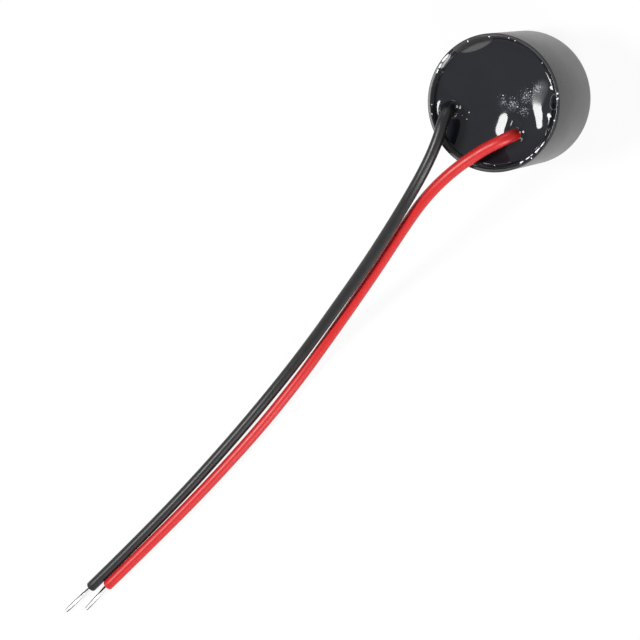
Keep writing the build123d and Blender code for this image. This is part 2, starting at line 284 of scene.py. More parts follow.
@dataclass(frozen=True)
class PouredResin(Finish):
    """Potting resin: black and wet, with hazy patches of specks that are partly dust and partly
    painted glints, a stretch of dull skin with a painted reflection, and a painted highlight round
    the key rib.

    Places and half widths are in millimetres on the face, and turns are in degrees.
    """

    face_level: float = 9.2
    patch_depth: float = 10.0
    # pale specks: partly dust, partly painted glints of the lamps
    dust_and_glint_colour: str = "#B2B2BE"
    speck_mm: float = 0.09
    speck_patches: tuple[tuple[float, float, float], ...] = (
        (0.7, 0.4, 1.1), (1.6, 0.5, 1.4), (2.5, 1.5, 1.4), (2.75, 0.3, 1.1), (3.2, 2.6, 1.2),
    )
    # how high the noise has to be for a speck, at a patch's edge and in its middle
    speck_bound_edge: float = 0.80
    speck_bound_middle: float = 0.50
    speck_soft_edge: float = 0.08
    speck_roughness: float = 0.08
    haze_place: tuple[float, float] = (3.6, 2.35)
    haze_size: tuple[float, float] = (1.5, 0.95)
    haze_turn: float = 95.0
    haze_full_at: float = 0.6
    haze_roughness: float = 0.26
    rib_place: tuple[float, float] = (5.06, 2.08)
    rib_size: tuple[float, float] = (0.42, 0.8)
    rib_turn: float = 22.0
    # painted highlight: a thin pale ring round the key rib
    rib_highlight_colour: str = "#5A5A60"
    rib_highlight_at: float = 0.16
    rib_highlight_half_width: float = 0.05
    # painted reflection: the patch of dull skin is a lighter grey, standing for light mirrored
    # there
    skin_reflection_colour: str = "#2A292B"
    skin_place: tuple[float, float] = (-3.6, 4.36)
    skin_size: tuple[float, float] = (2.0, 0.86)
    skin_turn: float = 41.0
    skin_soft_edge: float = 0.04
    skin_roughness: float = 0.3

    def patch(
        self, tree: bpy.types.NodeTree, place: bpy.types.NodeSocket,
        middle: tuple[float, float], size: tuple[float, float], turn: float = 0.0,
    ) -> bpy.types.NodeSocket:
        """A soft round patch on the face: 1 at its middle and 0 at its edge.

        Args:
            tree: The material's node tree.
            place: Object coordinates.
            middle: The patch's middle, in millimetres.
            size: Its two half widths, in millimetres.
            turn: How far it is turned, in degrees.

        Returns:
            The patch's strength.
        """
        local = add_node(tree, "ShaderNodeMapping", {"vector_type": "TEXTURE"}, {
            "Vector": place,
            "Location": (middle[0] * MM, middle[1] * MM, self.face_level * MM),
            "Rotation": (0.0, 0.0, radians(turn)),
            "Scale": (size[0] * MM, size[1] * MM, self.patch_depth * MM),
        })
        ball = add_node(tree, "ShaderNodeTexGradient", {"gradient_type": "SPHERICAL"}, {
            "Vector": local.outputs["Vector"],
        })
        return ball.outputs["Fac"]

    def mottle(
        self, tree: bpy.types.NodeTree, place: bpy.types.NodeSocket
    ) -> tuple[bpy.types.NodeSocket, bpy.types.NodeSocket]:
        """Add the specks with their painted glints, the dull skin with its painted reflection, the
        haze and the painted highlight round the rib to the plain resin.

        Args:
            tree: The material's node tree.
            place: Object coordinates.

        Returns:
            The colour and the roughness.
        """
        colour, roughness = super().mottle(tree, place)
        spots = [self.patch(tree, place, (x, y), (size, size)) for x, y, size in self.speck_patches]
        haze = spots[0]
        for spot in spots[1:]:
            haze = add_node(tree, "ShaderNodeMath", {"operation": "MAXIMUM"}, {
                0: haze, 1: spot,
            }).outputs[0]
        noise = add_node(tree, "ShaderNodeTexNoise", inputs={
            "Vector": place, "Scale": repeats_per_metre(self.speck_mm),
            "Detail": 2.0, "Roughness": 0.6,
        })
        bound = add_node(tree, "ShaderNodeMapRange", inputs={
            "Value": haze, "To Min": self.speck_bound_edge, "To Max": self.speck_bound_middle,
        })
        over = add_node(tree, "ShaderNodeMath", {"operation": "SUBTRACT"}, {
            0: noise.outputs["Fac"], 1: bound.outputs["Result"],
        })
        speck = add_node(tree, "ShaderNodeMapRange", inputs={
            "Value": over.outputs[0], "From Max": self.speck_soft_edge,
        })
        # pale specks, part dust and part painted glint
        specked = add_node(tree, "ShaderNodeMix", {"data_type": "RGBA"}, {
            MIX_FACTOR: speck.outputs["Result"], MIX_FIRST: colour,
            MIX_SECOND: linear_colour(self.dust_and_glint_colour),
        })
        skin = add_node(tree, "ShaderNodeMapRange", inputs={
            "Value": self.patch(tree, place, self.skin_place, self.skin_size, self.skin_turn),
            "From Max": self.skin_soft_edge,
        })
        # painted reflection on the patch of dull skin
        with_skin_reflection = add_node(tree, "ShaderNodeMix", {"data_type": "RGBA"}, {
            MIX_FACTOR: skin.outputs["Result"], MIX_FIRST: specked.outputs[MIX_RESULT],
            MIX_SECOND: linear_colour(self.skin_reflection_colour),
        })
        # painted highlight round the key rib
        line = add_node(tree, "ShaderNodeMath", {"operation": "COMPARE"}, {
            0: self.patch(tree, place, self.rib_place, self.rib_size, self.rib_turn),
            1: self.rib_highlight_at, 2: self.rib_highlight_half_width,
        })
        painted_light_mix = add_node(tree, "ShaderNodeMix", {"data_type": "RGBA"}, {
            MIX_FACTOR: line.outputs[0], MIX_FIRST: with_skin_reflection.outputs[MIX_RESULT],
            MIX_SECOND: linear_colour(self.rib_highlight_colour),
        })
        breath = add_node(tree, "ShaderNodeMapRange", {"interpolation_type": "SMOOTHSTEP"}, {
            "Value": self.patch(tree, place, self.haze_place, self.haze_size, self.haze_turn),
            "From Max": self.haze_full_at, "To Max": self.haze_roughness,
        })
        hazed = add_node(tree, "ShaderNodeMath", {"operation": "MULTIPLY_ADD"}, {
            0: haze, 1: self.speck_roughness, 2: breath.outputs["Result"],
        })
        dulled = add_node(tree, "ShaderNodeMath", {"operation": "MULTIPLY_ADD"}, {
            0: skin.outputs["Result"], 1: self.skin_roughness, 2: hazed.outputs[0],
        })
        dull = add_node(tree, "ShaderNodeMath", {"operation": "ADD"}, {
            0: roughness, 1: dulled.outputs[0],
        })
        return painted_light_mix.outputs[MIX_RESULT], dull.outputs[0]


FINISHES = {
    # PBT, injection moulded: a dull black skin that takes a grey sheen at a low angle
    "case": Finish(
        "pbt_moulded_black", "#2A282A", "#302F30", 0.3, 0.03, ior=1.32, grain_mm=0.15,
        grain_height_mm=0.0006, mottle_mm=3.0,
    ),
    # Epoxy, poured and cured: black, wet and level, with the faintest ripple
    "resin": PouredResin(
        "epoxy_poured_black", "#1A1B20", "#1F2025", 0.045, 0.012, ior=1.285, grain_mm=0.9,
        grain_height_mm=0.003, grain_strength=0.3, mottle_mm=2.5,
    ),
    # PVC, extruded: satin red and satin black skins with a drawn grain, coarser than the
    # real one so that it shows
    "red_vinyl": ExtrudedVinyl(
        "pvc_extruded_red", "#B21113", "#BA1516", 0.4, ior=1.42, grain_mm=0.17,
        grain_height_mm=0.004,
    ),
    "black_vinyl": ExtrudedVinyl(
        "pvc_extruded_black", "#09090B", "#0E0E10", 0.36, ior=1.38, grain_mm=0.2,
        grain_height_mm=0.007,
    ),
    # Copper strands, twisted and dipped in tin: bright, a little uneven
    "strand": DippedStrand(
        "tinned_copper_strand", "#F0F0F2", "#E2E1E0", 0.24, metallic=1.0, ior=None, grain_mm=0.2,
        grain_height_mm=0.0015, mottle_mm=0.6,
    ),
    # Glass-cloth laminate, pressed and varnished: pale olive, glossy
    "laminate": Finish(
        "glass_laminate_varnished", "#8E8B4C", "#A39D62", 0.3, grain_mm=0.3, mottle_mm=0.4,
    ),
    # Copper foil, etched and brushed: warm and half dull
    "copper": Finish(
        "copper_foil_etched", "#C8734A", "#B3623D", 0.32, metallic=1.0, ior=None, grain_mm=0.08,
    ),
    # Filled epoxy compound, transfer moulded: matt charcoal
    "compound": Finish("epoxy_compound_moulded", "#232323", "#2C2C2B", 0.6, grain_mm=0.05),
    # Copper alloy legs and caps, plated with matt tin: pale, with broad, weak highlights
    "tinned": Finish(
        "tin_plated_matt", "#C9C8C4", "#B9B8B3", 0.34, metallic=1.0, ior=None, grain_mm=0.05,
    ),
    # Brass sheet, rolled: warm yellow with a slow tarnish
    "brass": Finish(
        "brass_rolled", "#D9B466", "#C49C4F", 0.28, metallic=1.0, ior=None, mottle_mm=2.0,
    ),
    # Lead zirconate titanate, fired and lapped: dull greenish grey
    "ceramic": Finish("pzt_fired_lapped", "#9C9A88", "#8C8A78", 0.62, ior=1.8, grain_mm=0.04),
    # Silver paste, printed and fired: pale, matt, fine grained
    "silver": Finish(
        "silver_paste_fired", "#DDDBD5", "#CFCCC4", 0.48, metallic=1.0, ior=None, grain_mm=0.04,
    ),
    # Silicone, run round the disc and cured: milky and soft
    "silicone": Finish("silicone_bead_cured", "#E6E6E2", "#D8D8D2", 0.4, ior=1.41, grain_mm=0.5),
    # Solder, reflowed: bright with dull islands
    "solder": Finish(
        "solder_reflowed", "#D2D2D2", "#B4B4B6", 0.2, metallic=1.0, ior=None, mottle_mm=0.25,
    ),
    # Copper wire, drawn and enamelled: reddish under a clear coat
    "enamelled": Finish(
        "copper_wire_enamelled", "#B4552F", "#A14A28", 0.3, metallic=1.0, ior=None, coat=0.8,
        grain_mm=0.1,
    ),
    # Epoxy, dried round burst bubbles: pale on the black face, a painted glint standing for the
    # lamps' highlights
    "glint_fleck": Finish("epoxy_bubble_painted_glint", "#E6E6EC", "#F2F2F6", 0.25, grain_mm=0.05),
    # Alumina chip under a fired glaze: glossy black
    "chip": Finish("alumina_glazed_black", "#15151A", "#1D1D22", 0.22, ior=1.6, grain_mm=0.1),
}


class Dressing:
    """The finishes, each made once, and how a piece takes one."""

    def __init__(self) -> None:
        """Make every finish."""
        self.materials = {key: finish.build() for key, finish in FINISHES.items()}

    def dress(self, piece: bpy.types.Object, key: str, replaced: tuple[str, ...]) -> None:
        """Give a new piece its finish, its body and the solids that it stands for.

        Args:
            piece: The finished piece.
            key: The finish, as named in FINISHES.
            replaced: The solids that it replaces, if any.
        """
        piece.data.materials.clear()
        piece.data.materials.append(self.materials[key])
        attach(piece, BODY)
        if replaced:
            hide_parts(*replaced)

    def dress_solid(self, name: str, key: str) -> None:
        """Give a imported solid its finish."""
        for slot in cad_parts[name].material_slots:
            slot.material = self.materials[key]


def deselect_all() -> None:
    """Leave edit mode with nothing selected."""
    if bpy.context.object is not None and bpy.context.object.mode != "OBJECT":
        bpy.ops.object.mode_set(mode="OBJECT")
    bpy.ops.object.select_all(action="DESELECT")


def pick(piece: bpy.types.Object, kind: str, test: Callable[[Vector], bool]) -> None:
    """Select the parts of a piece, in edit mode, all of whose corners pass a test.

    Args:
        piece: The piece in edit mode.
        kind: "VERT", "EDGE" or "FACE".
        test: Takes a corner's place and says whether it passes.
    """
    bpy.ops.mesh.select_mode(type=kind)
    bpy.ops.mesh.select_all(action="DESELECT")
    shape = bmesh.from_edit_mesh(piece.data)
    parts = {"VERT": shape.verts, "EDGE": shape.edges, "FACE": shape.faces}[kind]
    for part in parts:
        corners = [part] if kind == "VERT" else part.verts
        if all(test(corner.co) for corner in corners):
            part.select_set(True)
    shape.select_flush_mode()
    bmesh.update_edit_mesh(piece.data)


def lift_by(piece: bpy.types.Object, rise: Callable[[Vector], float]) -> None:
    """Raise a piece with a painted weight and a Displace modifier, then apply it.

    Args:
        piece: The piece, in object mode.
        rise: Takes a corner's place and gives how far it is raised, up to a millimetre.
    """
    group = piece.vertex_groups.new(name="lift")
    for corner in piece.data.vertices:
        weight = rise(corner.co)
        if weight > CLOSE:
            group.add([corner.index], weight, "REPLACE")
    lift = piece.modifiers.new("lift", "DISPLACE")
    lift.direction = "Z"
    lift.mid_level = 0.0
    lift.strength = 1.0
    lift.vertex_group = group.name
    bpy.ops.object.modifier_apply(modifier=lift.name)
    piece.vertex_groups.clear()


def settle(piece: bpy.types.Object, smooth_degrees: float) -> bpy.types.Object:
    """Turn a piece drawn in millimetres into metres, with its place in its mesh.

    Args:
        piece: The piece, selected and active.
        smooth_degrees: Edges under this angle are shaded smooth.

    Returns:
        The same piece.
    """
    bpy.ops.object.mode_set(mode="EDIT")
    bpy.ops.mesh.select_all(action="SELECT")
    bpy.ops.mesh.normals_make_consistent(inside=False)
    bpy.ops.object.mode_set(mode="OBJECT")
    piece.scale = (MM, MM, MM)
    bpy.ops.object.transform_apply(location=True, rotation=True, scale=True)
    bpy.ops.object.shade_smooth_by_angle(angle=radians(smooth_degrees))
    return piece


class Turning:
    """A round shape drawn ring by ring about an upright axis, in millimetres."""

    def __init__(self, name: str, radius: float, level: float, segments: int) -> None:
        """Add the first ring.

        Args:
            name: The piece's name.
            radius: The first ring's radius.
            level: Its height.
            segments: How many corners each ring has.
        """
        deselect_all()
        bpy.ops.mesh.primitive_circle_add(vertices=segments, radius=radius)
        self.piece = bpy.context.object
        self.piece.name = name
        self.radius = radius
        self.level = level
        bpy.ops.object.mode_set(mode="EDIT")
        bpy.ops.mesh.select_all(action="SELECT")
        bpy.ops.transform.translate(value=(0.0, 0.0, level))

    def ring_to(self, radius: float, level: float) -> None:
        """Extrude the last ring to a new one.

        Args:
            radius: The new ring's radius.
            level: Its height.
        """
        bpy.ops.mesh.extrude_region_move(
            TRANSFORM_OT_translate={"value": (0.0, 0.0, level - self.level)}
        )
        share = radius / self.radius
        bpy.ops.transform.resize(value=(share, share, 1.0), center_override=(0.0, 0.0, level))
        self.radius = radius
        self.level = level

    def close_on_axis(self) -> None:
        """Draw the last ring together into one corner."""
        bpy.ops.mesh.merge(type="CENTER")

    def close_on_ring(self, radius: float, level: float) -> None:
        """Bridge the last ring to the first one.

        Args:
            radius: The first ring's radius.
            level: Its height.
        """
        rings = ((radius, level), (self.radius, self.level))

        def on_a_ring(place: Vector) -> bool:
            """Whether a corner lies on either ring."""
            reach = hypot(place.x, place.y)
            return any(
                abs(reach - ring) < CLOSE and abs(place.z - height) < CLOSE
                for ring, height in rings
            )

        pick(self.piece, "EDGE", on_a_ring)
        bpy.ops.mesh.bridge_edge_loops()


@dataclass
class CupCase:
    """The moulded cup: side wall, front with its sound hole, rim and the two ledges inside."""

    radius: float = 6.0
    height: float = 9.5
    front_thickness: float = 0.8
    bore_radius: float = 5.45
    ledge_radius: float = 5.2
    resonance_radius: float = 4.6
    disc_ledge_level: float = 2.2
    board_ledge_level: float = 6.7
    hole_radius: float = 1.2
    hole_chamfer: float = 0.15
    front_edge_round: float = 0.25
    rim_outer_round: float = 0.1
    mouth_chamfer: float = 0.3
    round_steps: int = 5
    segments: int = 160
    rib_radius: float = 0.65
    rib_degrees: float = 21.0
    rib_top: float = 9.1
    rib_top_round: float = 0.06
    rib_segments: int = 48

    def build(self) -> bpy.types.Object:
        """Turn the cup and round its edges.

        Returns:
            The case.
        """
        mouth = (self.hole_radius + self.hole_chamfer, 0.0)
        turning = Turning("cup_case", *mouth, self.segments)
        for radius, level in (
            (self.hole_radius, self.hole_chamfer),
            (self.hole_radius, self.front_thickness),
            (self.resonance_radius, self.front_thickness),
            (self.resonance_radius, self.disc_ledge_level),
            (self.ledge_radius, self.disc_ledge_level),
            (self.ledge_radius, self.board_ledge_level),
            (self.bore_radius, self.board_ledge_level),
            (self.bore_radius, self.height),
            (self.radius, self.height),
            (self.radius, 0.0),
        ):
            turning.ring_to(radius, level)
        turning.close_on_ring(*mouth)
        case = turning.piece
        self.ease_edge(case, self.radius, 0.0, self.front_edge_round, self.round_steps)
        self.ease_edge(case, self.radius, self.height, self.rim_outer_round, self.round_steps)
        self.ease_edge(case, self.bore_radius, self.height, self.mouth_chamfer, 1)
        bpy.ops.object.mode_set(mode="OBJECT")
        return settle(case, smooth_degrees=40.0)

    def ease_edge(
        self, case: bpy.types.Object, radius: float, level: float, size: float, steps: int
    ) -> None:
        """Bevel a ring of edges.

        Args:
            case: The cup, in edit mode.
            radius: The ring's radius.
            level: Its height.
            size: The width of the bevel.
            steps: One for a flat, more for a round.
        """
        pick(case, "EDGE", lambda place: (
            abs(hypot(place.x, place.y) - radius) < CLOSE and abs(place.z - level) < CLOSE
        ))
        bpy.ops.mesh.bevel(offset=size, segments=steps, profile=0.5, affect="EDGES")

    def build_rib(self) -> bpy.types.Object:
        """Raise the half-round rib that locates the board.

        Returns:
            The rib, with its back in the wall.
        """
        deselect_all()
        turn = radians(self.rib_degrees)
        depth = self.rib_top - self.board_ledge_level
        out = Vector((cos(turn), sin(turn), 0.0))
        bpy.ops.mesh.primitive_cylinder_add(
            vertices=self.rib_segments, radius=self.rib_radius, depth=depth,
            location=out * self.bore_radius + Vector((0.0, 0.0, self.rib_top - depth / 2)),
        )
        rib = bpy.context.object
        rib.name = "case_key_rib"
        bpy.ops.object.transform_apply(location=True, rotation=True, scale=True)
        bpy.ops.object.mode_set(mode="EDIT")
        bpy.ops.mesh.select_all(action="SELECT")
        bpy.ops.mesh.bisect(
            plane_co=out * (self.bore_radius + self.radius) / 2, plane_no=out,
            use_fill=True, clear_outer=True,
        )
        pick(rib, "EDGE", lambda place: abs(place.z - self.rib_top) < CLOSE)
        bpy.ops.mesh.bevel(offset=self.rib_top_round, segments=3, affect="EDGES")
        bpy.ops.object.mode_set(mode="OBJECT")
        return settle(rib, smooth_degrees=40.0)


def bearing(place: Vector) -> float:
    """The direction of a place from the upright axis, in degrees."""
    return atan2(place.y, place.x) * 180.0 / pi


def eased(share: float) -> float:
    """A share held to 0 and 1 that starts and ends level."""
    held = min(max(share, 0.0), 1.0)
    return held * held * (3.0 - 2.0 * held)


@dataclass(frozen=True)
class Swell:
    """A soft rise of the resin about a line on its face, falling away beside it."""

    start: tuple[float, float]
    end: tuple[float, float]
    rise: float
    reach: float
    core: float = 0.0
    power: float = 1.0

    def height(self, place: Vector) -> float:
        """How far the resin is raised at a place.

        Args:
            place: A corner of the face.

        Returns:
            The whole rise within the core, and less with the distance beyond it.
        """
        start = Vector(self.start)
        run = Vector(self.end) - start
        beside = place.xy - start
        along = min(max(beside.dot(run) / run.length_squared, 0.0), 1.0) if run.length else 0.0
        gap = max((beside - run * along).length - self.core, 0.0)
        return self.rise * exp(-((gap / self.reach) ** self.power))


@dataclass(frozen=True)
class RimStretch:
    """A stretch of the rim where the resin stands out, by its middle and half width in degrees."""

    middle: float
    half_width: float
    amount: float

    def at(self, degrees: float) -> float:
        """The stretch's amount at an angle, easing to none at its ends."""
        apart = abs((degrees - self.middle + 180.0) % 360.0 - 180.0)
        return self.amount * eased(1.0 - apart / self.half_width)


@dataclass
class ResinFill:
    """The potting: a wet-looking face that climbs the mouth, the leads and the key rib."""

    bore_radius: float = 5.45
    floor_disc: float = 0.4
    floor_level: float = 7.5
    side_level: float = 8.9
    level: float = 9.0
    climb_start: float = 5.25
    climb_end: float = 5.7
    climb_rise: float = 0.42
    mouth_level: float = 9.2
    rim_level: float = 9.5
    rim_round_start: float = 5.9
    rim_round: float = 0.1
    edge_radius: float = 5.64
    spread_from: float = 5.3
    spread_to: float = 7.0
    film: float = 0.004
    bead_width: float = 0.6
    bead_rise: float = 0.032
    drop_start: float = 5.5
    drop_crest: float = 5.83
    drop_top: float = 9.53
    drop_bend: float = 0.6
    drop_full_at: float = 0.15
    drop_sink: float = 0.3
    swell_edge: float = 5.6
    swell_fade: float = 0.35
    fine_from: float = 5.1
    fine_step: float = 0.03
    ring_step: float = 0.07
    segments: int = 320
    overruns: tuple[RimStretch, ...] = (
        RimStretch(136, 26, 0.33), RimStretch(162, 26, 0.24), RimStretch(20, 75, 0.22),
        RimStretch(-30, 30, 0.2), RimStretch(-60, 50, 0.12), RimStretch(95, 40, 0.15),
    )
    drops: tuple[RimStretch, ...] = (
        RimStretch(-20, 9, 0.5), RimStretch(-31, 3, 0.45), RimStretch(-38, 9, 0.45),
    )
    swells: tuple[Swell, ...] = (
        Swell((2.87, -1.75), (2.87, -1.75), 0.2, 0.12, core=0.52),
        Swell((2.634, -1.697), (2.6, -0.937), 0.321, 0.657, core=0.525, power=0.8),
        Swell((-3.45, -1.83), (-3.45, -1.83), 0.25, 0.13, core=0.5),
        Swell((-3.7, -2.136), (-3.7, -2.136), 0.307, 0.23, core=0.5),
        Swell((5.024, 1.5), (5.652, 0.099), 0.433, 1.156, power=1.525),
        Swell((5.252, 1.8), (5.352, 1.85), 0.148, 0.191, core=0.308, power=1.264),
        Swell((5.235, 1.275), (5.235, 1.275), -0.03, 0.618, power=2.0),
        Swell((-1.359, -6.979), (3.215, -4.8), 0.55, 0.863, power=1.788),
    )

    def build(self) -> bpy.types.Object:
        """Turn the fill, then draw its face over the rim and up at the wall, leads and rib.

        Returns:
            The resin.
        """
        turning = Turning("resin_fill", self.floor_disc, self.floor_level, self.segments)
        turning.ring_to(self.bore_radius, self.floor_level)
        turning.ring_to(self.bore_radius, self.side_level)
        turning.ring_to(self.edge_radius, self.level)
        while turning.radius > self.ring_step * 1.5:
            step = self.fine_step if turning.radius > self.fine_from else self.ring_step
            turning.ring_to(turning.radius - step, self.level)
        turning.close_on_axis()
        resin = turning.piece
        pick(resin, "VERT", lambda place: (
            hypot(place.x, place.y) < self.floor_disc + CLOSE
            and abs(place.z - self.floor_level) < CLOSE
        ))
        bpy.ops.mesh.edge_face_add()
        bpy.ops.object.mode_set(mode="OBJECT")
        self.run_over_rim(resin)
        lift_by(resin, lambda place: (
            self.face_height(place) - place.z if place.z > self.level - CLOSE else 0.0
        ))
        return settle(resin, smooth_degrees=50.0)

    def edge_at(self, place: Vector) -> float:
        """The radius at which the resin ends, in the direction of a place."""
        degrees = bearing(place)
        return self.edge_radius + sum(overrun.at(degrees) for overrun in self.overruns)

    def run_over_rim(self, resin: bpy.types.Object) -> None:
        """Draw the outer rings of the face outwards where the resin has run over the rim.

        Args:
            resin: The fill with its level face, in object mode.
        """
        group = resin.vertex_groups.new(name="over_rim")
        for corner in resin.data.vertices:
            reach = hypot(corner.co.x, corner.co.y)
            if corner.co.z > self.level - CLOSE and reach > self.spread_from:
                share = (reach - self.spread_from) / (self.edge_radius - self.spread_from)
                shift = (self.edge_at(corner.co) - self.edge_radius) * share
                group.add([corner.index], shift / (self.spread_to - reach), "REPLACE")
        spread = resin.modifiers.new("over_rim", "CAST")
        spread.cast_type = "CYLINDER"
        spread.use_z = False
        spread.use_radius_as_size = False
        spread.size = self.spread_to
        spread.factor = 1.0
        spread.vertex_group = group.name
        bpy.ops.object.modifier_apply(modifier=spread.name)
        resin.vertex_groups.clear()

    def rim_height(self, radius: float) -> float:
        """The height of the case's mouth and rim.

        Args:
            radius: The distance from the axis.

        Returns:
            The height there: the chamfer, the flat rim or its outer round.
        """
        if radius > self.rim_round_start:
            run = min(radius - self.rim_round_start, self.rim_round)
            return self.rim_level - self.rim_round + sqrt(self.rim_round**2 - run**2)
        return min(self.mouth_level + radius - self.bore_radius, self.rim_level)

    def face_height(self, place: Vector) -> float:
        """The height of the resin at a place on its face.

        Args:
            place: The place; only its x and y count.

        Returns:
            The height, never under the case's mouth and rim.
        """
        reach = hypot(place.x, place.y)
        width = self.climb_end - self.climb_start
        arc = (width**2 + self.climb_rise**2) / (2.0 * self.climb_rise)
        run = min(max(reach - self.climb_start, 0.0), width)
        height = self.level + arc - sqrt(arc**2 - run**2)
        share = eased((self.swell_edge - reach) / self.swell_fade)
        height += share * sum(swell.height(place) for swell in self.swells)
        if reach > self.bore_radius:
            height = max(height, self.film_height(reach, place))
        return height

    def film_height(self, reach: float, place: Vector) -> float:
        """The height of the thin resin that lies on the mouth and the rim.

        Args:
            reach: The place's distance from the axis.
            place: The place; only its x and y count.

        Returns:
            The film, thicker in the middle and in the drops that dried on the rim.
        """
        across = min(max((self.edge_at(place) - reach) / self.bead_width, 0.0), 1.0)
        crown = 4.0 * across * (1.0 - across)
        film = self.rim_height(reach) + self.film + self.bead_rise * crown
        if reach > self.drop_start:
            amount = max(drop.at(bearing(place)) for drop in self.drops)
            bend = self.drop_bend * (self.drop_crest - reach) ** 2
            sink = self.drop_sink * (1.0 - min(amount / self.drop_full_at, 1.0))
            film = max(film, self.drop_top - bend - sink)
        return film


@dataclass(frozen=True)
class Fleck:
    """One dried bubble, pale as a painted glint: its place on the face, its half widths and its
    turn, clockwise.
    """

    x: float
    y: float
    long: float
    short: float
    degrees: float = 0.0
    rise_share: float = 0.5

    def add(self, level: float) -> None:
        """Add the dome to the piece in edit mode, or start a new piece.

        Args:
            level: The height of the face here.
        """
        middle = (self.x, self.y, level)
        bpy.ops.mesh.primitive_ico_sphere_add(subdivisions=2, radius=1.0, location=middle)
        if bpy.context.object.mode != "EDIT":
            bpy.ops.object.transform_apply(location=True, rotation=True, scale=True)
            bpy.ops.object.mode_set(mode="EDIT")
            bpy.ops.mesh.select_all(action="SELECT")
        sizes = (self.long, self.short, self.short * self.rise_share)
        bpy.ops.transform.resize(value=sizes, center_override=middle)
        # with no window, a positive turn is clockwise
        bpy.ops.transform.rotate(
            value=radians(self.degrees), orient_axis="Z", center_override=middle,
        )


@dataclass
class Flecks:
    """Bubbles that burst and dried in the resin's skin, each a little dome, pale as a painted glint
    of the lamps.
    """

    flecks: tuple[Fleck, ...] = (
        # beside the two leads
        Fleck(-3.03, -1.52, 0.14, 0.09, 70), Fleck(-2.78, -1.53, 0.17, 0.10, 80),
        Fleck(3.17, -1.44, 0.09, 0.08), Fleck(3.38, -1.34, 0.11, 0.09, 80),
        Fleck(-1.88, -1.62, 0.06, 0.06), Fleck(-1.86, -2.25, 0.05, 0.05),
        Fleck(-2.33, -2.09, 0.04, 0.04),
        # beside the key rib
        Fleck(4.44, 3.13, 0.28, 0.20, -15), Fleck(5.08, 0.86, 0.21, 0.16, 20),
        # on the rim: single drops, then the two streaks
        Fleck(5.12, 2.88, 0.1, 0.08, -50), Fleck(5.28, 2.48, 0.13, 0.07, -60),
        Fleck(5.68, 0.64, 0.08, 0.08), Fleck(-4.89, -2.93, 0.07, 0.07),
        Fleck(-5.20, -2.18, 0.05, 0.05), Fleck(4.10, 3.71, 0.05, 0.05),
        Fleck(2.89, 4.81, 0.05, 0.05), Fleck(-0.03, 5.72, 0.05, 0.05),
        Fleck(-0.61, 5.74, 0.05, 0.05), Fleck(-2.34, 5.21, 0.08, 0.06),
        Fleck(-4.00, 4.16, 0.09, 0.06, 40), Fleck(4.95, -3.13, 0.08, 0.06, 40),
        Fleck(-5.41, 2.07, 0.5, 0.09, -68), Fleck(-5.62, 1.28, 0.26, 0.08, -78),
        Fleck(-5.69, 0.75, 0.21, 0.06, -83), Fleck(5.43, -1.65, 0.33, 0.04, -72),
        Fleck(5.19, -2.29, 0.36, 0.06, -66), Fleck(4.87, -2.87, 0.14, 0.04, -59),
        Fleck(4.64, -3.24, 0.26, 0.05, -55), Fleck(4.24, -3.77, 0.19, 0.06, -47),
        # out on the face
        Fleck(0.49, 0.88, 0.05, 0.05), Fleck(2.01, -4.99, 0.05, 0.05),
        Fleck(2.07, 0.44, 0.06, 0.05), Fleck(2.70, 2.11, 0.05, 0.04), Fleck(2.48, 1.69, 0.05, 0.05),
    )

    def build(self, resin: ResinFill) -> bpy.types.Object:
        """Set every dome on the face.

        Args:
            resin: The fill, which gives the height of its face.

        Returns:
            The domes, as one piece.
        """
        deselect_all()
        for glint_fleck in self.flecks:
            glint_fleck.add(resin.face_height(Vector((glint_fleck.x, glint_fleck.y, 0.0))))
        piece = bpy.context.object
        piece.name = "resin_glint_flecks"
        bpy.ops.object.mode_set(mode="OBJECT")
        return settle(piece, smooth_degrees=60.0)


